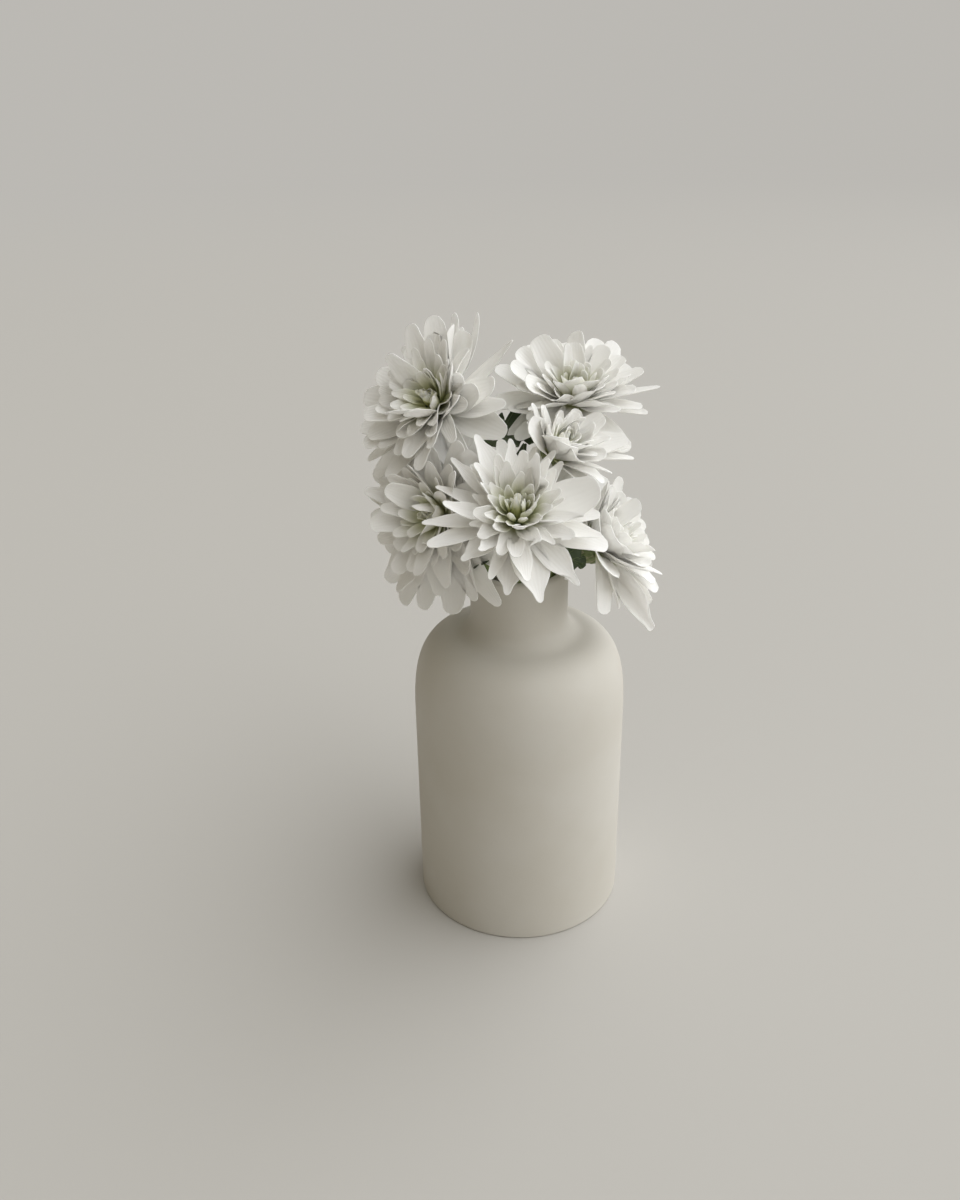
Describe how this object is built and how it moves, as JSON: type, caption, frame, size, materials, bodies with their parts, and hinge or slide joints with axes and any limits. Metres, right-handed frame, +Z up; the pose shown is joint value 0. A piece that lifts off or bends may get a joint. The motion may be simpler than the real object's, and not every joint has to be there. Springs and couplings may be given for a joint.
{
  "type": "chrysanthemums in a vase",
  "caption": "White chrysanthemum blooms with leaves, standing in a round-shouldered ceramic vase with a straight narrow neck.",
  "frame": {"origin": "centre of the vase's foot, on the surface that it stands on", "axes": "+Z up along the vase's axis, -Y towards the side that the front bloom faces, +X to the right seen from the front"},
  "size_m": [0.1356, 0.1339, 0.2821],
  "materials": {
    "ceramic": "matt cream-white bisque with a faint satin sheen",
    "stem": "ribbed green stem, softly hairy",
    "calyx": "overlapping green scales",
    "petal": "thin white petals, greenish-yellow at the root, matt and slightly translucent",
    "eye": "tight incurved greenish-yellow florets",
    "leaf": "dark green lobed leaf with veins, satin above and paler below"
  },
  "bodies": {
    "root": {"front_bloom_calyx": "calyx", "front_bloom_eye": "eye", "front_bloom_inner_petals": "petal", "front_bloom_middle_petals": "petal", "front_bloom_outer_petals": "petal", "front_bloom_stem": "stem", "leaf_1": "leaf", "leaf_10": "leaf", "leaf_11": "leaf", "leaf_12": "leaf", "leaf_13": "leaf", "leaf_2": "leaf", "leaf_3": "leaf", "leaf_4": "leaf", "leaf_5": "leaf", "leaf_6": "leaf", "leaf_7": "leaf", "leaf_8": "leaf", "leaf_9": "leaf", "lower_left_bloom_calyx": "calyx", "lower_left_bloom_eye": "eye", "lower_left_bloom_inner_petals": "petal", "lower_left_bloom_middle_petals": "petal", "lower_left_bloom_outer_petals": "petal", "lower_left_bloom_stem": "stem", "lower_right_bloom_calyx": "calyx", "lower_right_bloom_eye": "eye", "lower_right_bloom_inner_petals": "petal", "lower_right_bloom_middle_petals": "petal", "lower_right_bloom_outer_petals": "petal", "lower_right_bloom_stem": "stem", "right_small_bloom_calyx": "calyx", "right_small_bloom_eye": "eye", "right_small_bloom_inner_petals": "petal", "right_small_bloom_middle_petals": "petal", "right_small_bloom_outer_petals": "petal", "right_small_bloom_stem": "stem", "upper_left_bloom_calyx": "calyx", "upper_left_bloom_eye": "eye", "upper_left_bloom_inner_petals": "petal", "upper_left_bloom_middle_petals": "petal", "upper_left_bloom_outer_petals": "petal", "upper_left_bloom_stem": "stem", "upper_right_bloom_calyx": "calyx", "upper_right_bloom_eye": "eye", "upper_right_bloom_inner_petals": "petal", "upper_right_bloom_middle_petals": "petal", "upper_right_bloom_outer_petals": "petal", "upper_right_bloom_stem": "stem", "vase": "ceramic"}
  },
  "joints": []
}
